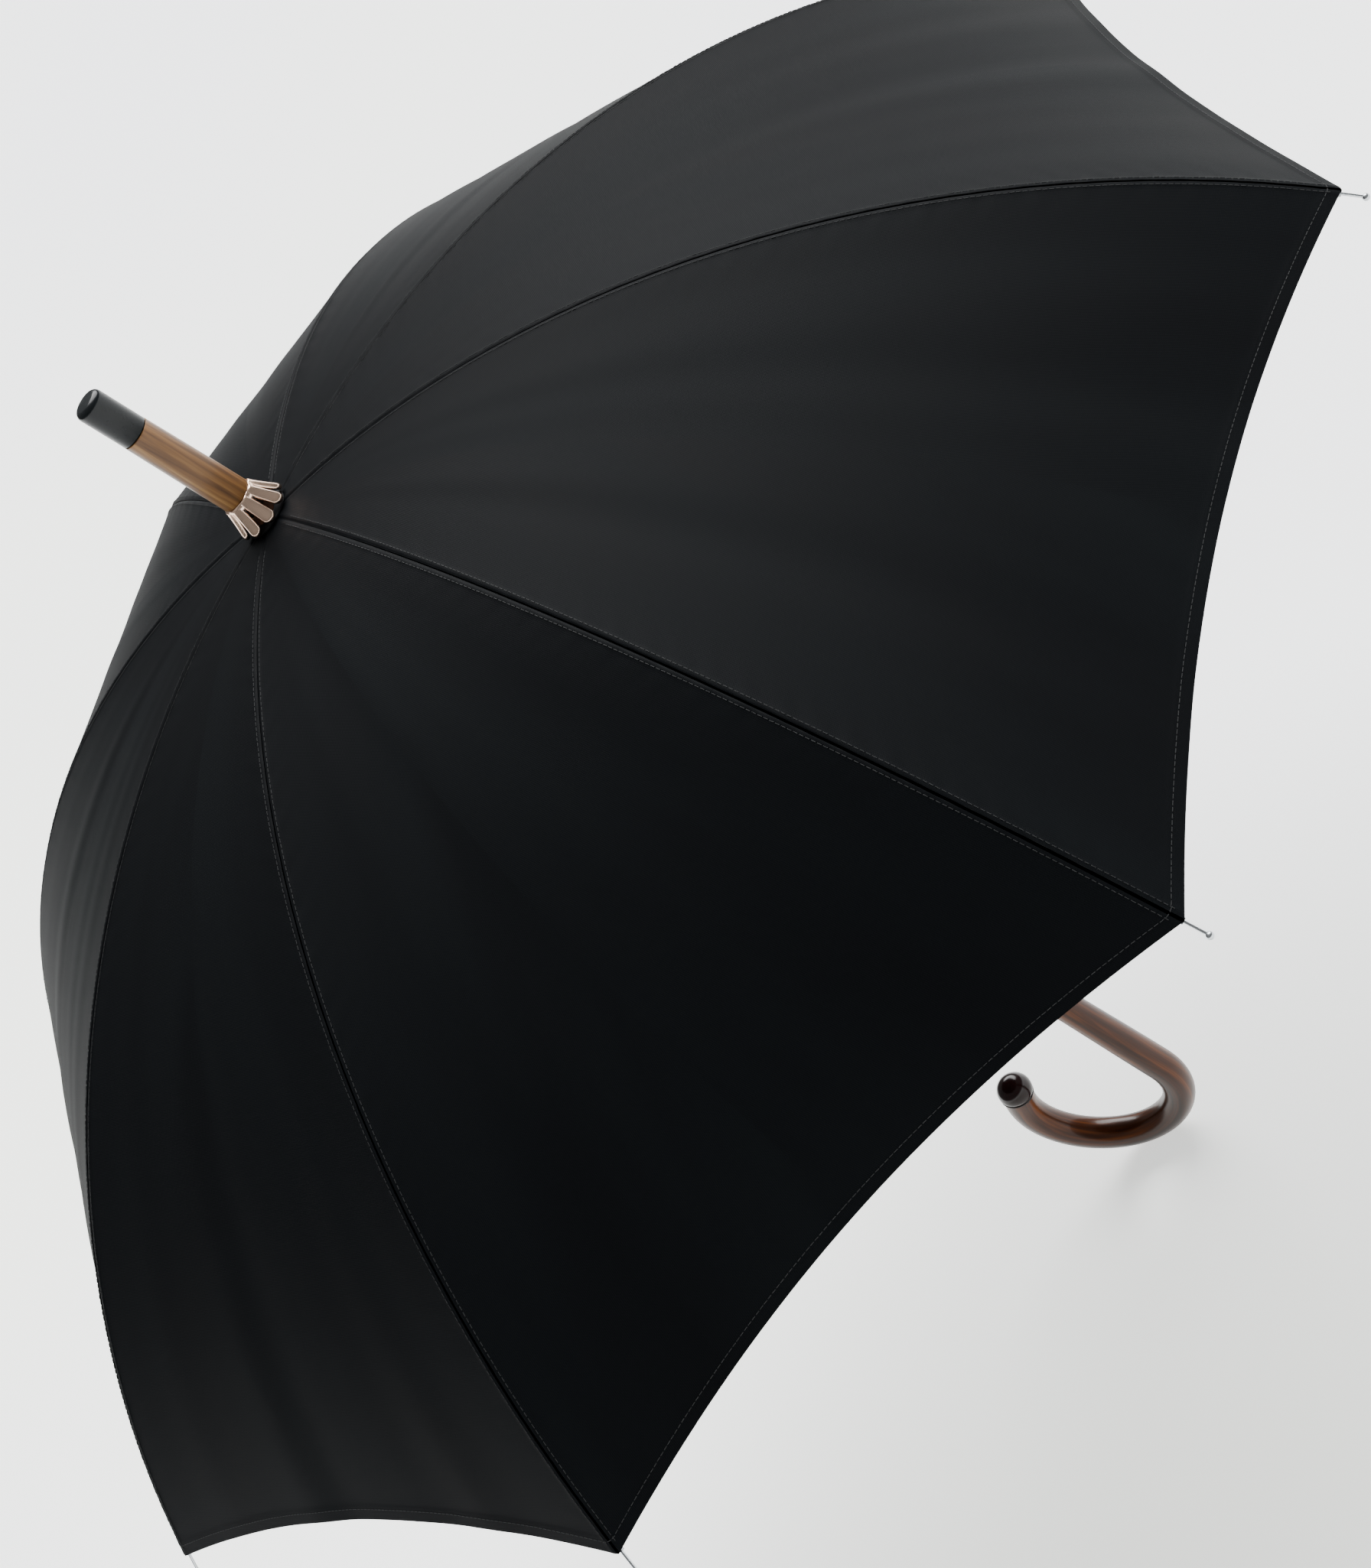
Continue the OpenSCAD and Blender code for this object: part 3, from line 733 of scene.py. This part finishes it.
def make_nose():
    """Turned knob: lip, waist and ball."""
    ball_z = NOSE_LENGTH - NOSE_R
    lip = BEND_ROD_R + LIP_OUT
    profile = [(9.0 * MM, 0.05 * MM), (lip, 0.05 * MM)]
    profile += arc_profile((lip, LIP_R + 0.05 * MM), LIP_R, -60, 60, 5)
    profile += [(lip + 0.1 * MM, 2.0 * MM), (lip + 0.5 * MM, 3.0 * MM)]
    profile += arc_profile((0, ball_z), NOSE_R, -8, 86, 22)
    profile.append((0.05 * MM, NOSE_LENGTH))
    return lathe("nose_knob", profile, nose_maroon, end_of_handle())


nose = make_nose()
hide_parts("nose_cap")
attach(nose, "root")
print("nose knob:", len(nose.data.vertices), "points")

# %% [markdown]
# ## Ferrule, tip cap and rosette
# Above the cloth the stick ends in a turned ferrule. Its wood tapers a little towards the
# tip, and its edges are broken with fine sandpaper. The tip cap is a cup of black horn with
# a rounded end and a hairline groove where it meets the wood.

# %% Ferrule and tip cap
ferrule_low, ferrule_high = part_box("ferrule_wood")
cap_low, cap_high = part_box("ferrule_cap")
WOOD_BASE_R = (ferrule_high[0] - ferrule_low[0]) / 2
CAP_R = (cap_high[0] - cap_low[0]) / 2
WOOD_TIP_R = 9.6 * MM
WOOD_EDGE = 0.7 * MM
TIP_EDGE = 0.4 * MM
CAP_LIP = 0.5 * MM
CAP_EDGE = 3.6 * MM
SEAT = 0.1 * MM


def make_ferrule():
    """Tapered, turned wood with softened ends."""
    low, high = ferrule_low[2] + SEAT, cap_low[2] - 0.15 * MM
    profile = [(6.0 * MM, low), (WOOD_BASE_R - WOOD_EDGE, low)]
    profile += arc_profile((WOOD_BASE_R - WOOD_EDGE, low + WOOD_EDGE), WOOD_EDGE, -60, 0, 4)
    steps = 24
    for k in range(1, steps):
        part = k / steps
        swell = 0.12 * MM * math.sin(math.pi * part)
        profile.append((WOOD_BASE_R + (WOOD_TIP_R - WOOD_BASE_R) * part + swell, low + (high - low) * part))
    profile += arc_profile((WOOD_TIP_R - TIP_EDGE, high - TIP_EDGE), TIP_EDGE, 0, 90, 4)
    profile.append((5.2 * MM, high))
    return lathe("ferrule_turned_wood", profile, ferrule_finish)


def make_tip_cap():
    """Black cup with a rounded, slightly domed end."""
    low, high = cap_low[2] + SEAT, cap_high[2]
    profile = [(5.6 * MM, low), (CAP_R - CAP_LIP, low)]
    profile += arc_profile((CAP_R - CAP_LIP, low + CAP_LIP), CAP_LIP, -90, 0, 4)
    profile.append((CAP_R, high - CAP_EDGE - 6 * MM))
    profile += arc_profile((CAP_R - CAP_EDGE, high - CAP_EDGE - 0.3 * MM), CAP_EDGE, 0, 84, 12)
    profile += [(1.8 * MM, high - 0.05 * MM), (0.05 * MM, high)]
    return lathe("tip_cap_horn", profile, tip_black)


ferrule = make_ferrule()
tip_cap = make_tip_cap()
for piece, node, slot in ((ferrule, "ferrule_wood", "ferrule_wood"), (tip_cap, "ferrule_cap", "tip_cap")):
    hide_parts(node)
    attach(piece, "root")
print(f"ferrule: {(cap_high[2] - ferrule_low[2]) / MM:.0f} mm long")

# %% [markdown]
# The rosette is a casting of polished metal: eight rounded fingers spring from a short cone
# under the ferrule, flare over the cloth and end in free, round tips. One formula gives a
# finger, as a bulging strip that swells a little on its way out and closes at its tip. The
# cone behind stops half way down, so that the gaps between the tips stay dark.

# %% Rosette
rosette_low, rosette_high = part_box("rosette")
PETALS = 8
FINGER_ROOT = WOOD_BASE_R - 1.8 * MM
FINGER_RIM = rosette_high[0] - 1.6 * MM
FINGER_BULGE = 2.7 * MM
FINGER_WALL = 0.8 * MM
FINGER_W = 3.2 * MM
FINGER_SWELL = 0.8 * MM
TIP_FROM = 0.8
CONE_BORE = 6.5 * MM
CONE_SHARE = 0.55


def finger_skin(turn, inset):
    """Rows of points from a finger's root to its tip, pulled in by a wall's thickness."""
    low, high = rosette_low[2] + 0.3 * MM, rosette_high[2]
    rows, columns = 28, 17
    points = []
    for r in range(rows):
        part = math.sin(math.pi / 2 * r / (rows - 1))
        tip = max(0.0, (part - TIP_FROM) / (1 - TIP_FROM))
        close = math.sqrt(max(0.0, 1 - tip ** 2)) + 0.02
        wide = (FINGER_W + FINGER_SWELL * part) * close
        middle = FINGER_ROOT + (FINGER_RIM - FINGER_ROOT) * part ** 1.15
        for c in range(columns):
            lean = math.pi * (c / (columns - 1) - 0.5)
            radius = middle + FINGER_BULGE * close * math.cos(lean) - inset
            place = Vector((radius, wide * math.sin(lean), high - (high - low) * part))
            points.append(Matrix.Rotation(turn, 3, "Z") @ place)
    return points, rows, columns


def make_finger(turn, first):
    """Points and faces of one finger, a closed shell numbered from first."""
    outer, rows, columns = finger_skin(turn, 0.0)
    inner, _, _ = finger_skin(turn, FINGER_WALL)
    count = rows * columns
    faces = grid_faces(rows, columns, first=first)
    faces += [f[::-1] for f in grid_faces(rows, columns, first=first + count)]
    faces += [(first + a, first + b, first + b + count, first + a + count)
              for a, b in border(rows, columns)]
    return outer + inner, faces


def make_rosette():
    """Eight fingers round a short cone, as one object."""
    points, faces = [], []
    for k in range(PETALS):
        finger, finger_faces = make_finger(2 * math.pi * (k + 1) / PETALS, len(points))
        points += finger
        faces += finger_faces
    high = rosette_high[2]
    foot = high - (high - rosette_low[2]) * CONE_SHARE
    cone = [(CONE_BORE, high), (WOOD_BASE_R, high), (WOOD_BASE_R + 0.3 * MM, high - 0.4 * MM),
            (WOOD_BASE_R + 1.5 * MM, foot), (CONE_BORE, foot)]
    first, around = len(points), 64
    for radius, height in cone:
        points += [Vector((radius * math.cos(2 * math.pi * a / around),
                           radius * math.sin(2 * math.pi * a / around), height)) for a in range(around)]
    faces += grid_faces(len(cone), around, wrap=True, first=first)
    faces += closing_faces(len(cone), around, first)
    return turn_outwards(new_mesh("rosette_cup", points, faces, rose_gold))


rosette = make_rosette()
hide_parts("rosette")
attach(rosette, "root")
print("rosette:", len(rosette.data.polygons), "faces")

# %% [markdown]
# ## Stretcher ends
# Each stretcher ends in a flattened eye that turns on the runner's wire. The frame stops
# its stretchers a little short there, to leave room while it folds, so the eyes are added
# here. They ride on the stretchers, and reach the wire when the umbrella is open or closed.

# %% Stretcher eyes
RUNNER_R = 14 * MM
runner_wire_z = sum(corner[2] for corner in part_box("runner_wire")) / 2
EYE_GAP = 12 * MM
NECK_OVERLAP = 4 * MM
NECK_W = 1.1 * MM
NECK_H = 1.15 * MM
EYE_R = 1.45 * MM
EYE_RIM = 0.6 * MM
EYE_HALF_T = 0.8 * MM


def make_stretcher_eye(rib):
    """A neck and a ring between a stretcher's end and the runner's wire."""
    out, side = rib_direction(rib)
    rivet = Vector(joints[f"stretcher_hinge_{rib}"]["pos_m"])
    eye = Vector(out * RUNNER_R) + Vector((0, 0, runner_wire_z))
    along = (eye - rivet).normalized()
    side = Vector(side)
    up = along.cross(side)
    points, faces = [], []
    start = eye - along * (EYE_GAP + NECK_OVERLAP)
    stop = eye - along * 1.6 * MM
    for centre, wide in ((start, NECK_W), (stop - along * 3 * MM, NECK_W), (stop, EYE_HALF_T)):
        for a, b in ((-1, -1), (1, -1), (1, 1), (-1, 1)):
            points.append(centre + side * wide * a + up * NECK_H * b)
    faces += grid_faces(3, 4, wrap=True)
    faces += [(3, 2, 1, 0), (8, 9, 10, 11)]
    first = len(points)
    around, tube = 24, 8
    for a in range(around):
        turn = 2 * math.pi * a / around
        spoke = along * math.cos(turn) + up * math.sin(turn)
        for b in range(tube):
            lean = 2 * math.pi * b / tube
            reach = EYE_R + EYE_RIM * math.cos(lean)
            points.append(eye + spoke * reach + side * EYE_HALF_T * math.sin(lean))
    faces += grid_faces(around, tube, wrap=True, first=first) + closing_faces(around, tube, first)
    return turn_outwards(new_mesh(f"stretcher_eye_{rib}", points, faces, zinc_steel, smooth=False))


for rib in range(1, RIBS + 1):
    eye = make_stretcher_eye(rib)
    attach(eye, f"stretcher_{rib}")
print("stretcher eyes:", RIBS)

# %% [markdown]
# ## Finishes for the frame's own pieces
# The other nodes have their right shape already and only need a finish.

# %% Dress the frame
finishes = {"shaft": shaft_finish, "handle_collar": rose_gold, "canopy_washer": black_felt,
            "top_notch": black_enamel, "runner_tube": black_enamel, "runner_notch": black_enamel,
            "runner_ring": black_enamel, "notch_wire": bright_wire, "runner_wire": bright_wire,
            "stop_pin": bright_wire, "catch_pins": bright_wire, "top_catch": bright_wire,
            "bottom_catch": bright_wire}
for rib in range(1, RIBS + 1):
    finishes[f"rib_{rib}"] = zinc_steel
    finishes[f"rib_joint_{rib}"] = zinc_steel
    finishes[f"stretcher_{rib}"] = zinc_steel
    finishes[f"rib_tip_{rib}"] = bright_wire
for name, finish in finishes.items():
    for slot in nodes[name].material_slots:
        slot.material = finish
print("nodes dressed:", len(finishes))

# %% [markdown]
# ## Floor and light
# A plain pale floor lies under the crook. One wide, soft source stands half way up the sky,
# so that the black cloth shows its panels by their shades and the floor keeps no hard
# shadow. The room is bright overhead and dimmer towards the horizon, which gives the metals
# something to reflect. The floor glows a little itself, as a lit studio sweep does.

# %% Floor and light
FLOOR_Z = cad_box[0][2] - 1 * MM
FLOOR_R = 40


def make_floor():
    """A pale, slightly uneven floor, far wider than the view."""
    made, tree, shader = new_material("pale_floor", Roughness=0.8, Emission_Strength=1.2)
    place = add(tree, "ShaderNodeTexCoord").outputs["Object"]
    cloud = add(tree, "ShaderNodeTexNoise", {"Vector": place, "Scale": 0.5, "Detail": 2.0}).outputs["Fac"]
    colour = colour_ramp(tree, cloud, [(0.35, "#f0f1f4"), (0.65, "#f4f6f1")])
    tree.links.new(colour, shader.inputs["Base Color"])
    tree.links.new(colour, shader.inputs["Emission Color"])
    around = 96
    angles = [2 * math.pi * k / around for k in range(around)]
    rim = [(FLOOR_R * math.cos(angle), FLOOR_R * math.sin(angle), FLOOR_Z) for angle in angles]
    floor = new_mesh("floor", rim, [tuple(range(around))], made)
    return floor


def far_light(name, side, rise, softness, strength):
    """A distant soft light, placed by its side and its height above the horizon in degrees."""
    data = bpy.data.lights.new(name, "SUN")
    data.angle = math.radians(softness)
    data.energy = strength
    back = towards(math.radians(side), math.radians(rise))
    light = bpy.data.objects.new(name, data)
    light.matrix_world = Matrix.Translation(back * 4) @ back.to_track_quat("Z", "Y").to_matrix().to_4x4()
    bpy.context.collection.objects.link(light)
    return light


def make_world(dim, bright, strength):
    """A soft room: bright overhead and dimmer towards the horizon."""
    world = bpy.data.worlds.new("soft_room")
    world.use_nodes = True
    tree = world.node_tree
    view = add(tree, "ShaderNodeTexCoord").outputs["Generated"]
    height = add(tree, "ShaderNodeSeparateXYZ", {"Vector": view}).outputs["Z"]
    colour = colour_ramp(tree, height, [(0.0, dim), (0.9, bright)])
    background = tree.nodes["Background"]
    tree.links.new(colour, background.inputs["Color"])
    background.inputs["Strength"].default_value = strength
    bpy.context.scene.world = world


floor = make_floor()
far_light("key", side=85, rise=48, softness=60, strength=9.5)
make_world("#848686", "#f6f7f4", 0.5)
print("floor and lights ready")

# %% [markdown]
# ## Finish

# %% Finish
print("done")
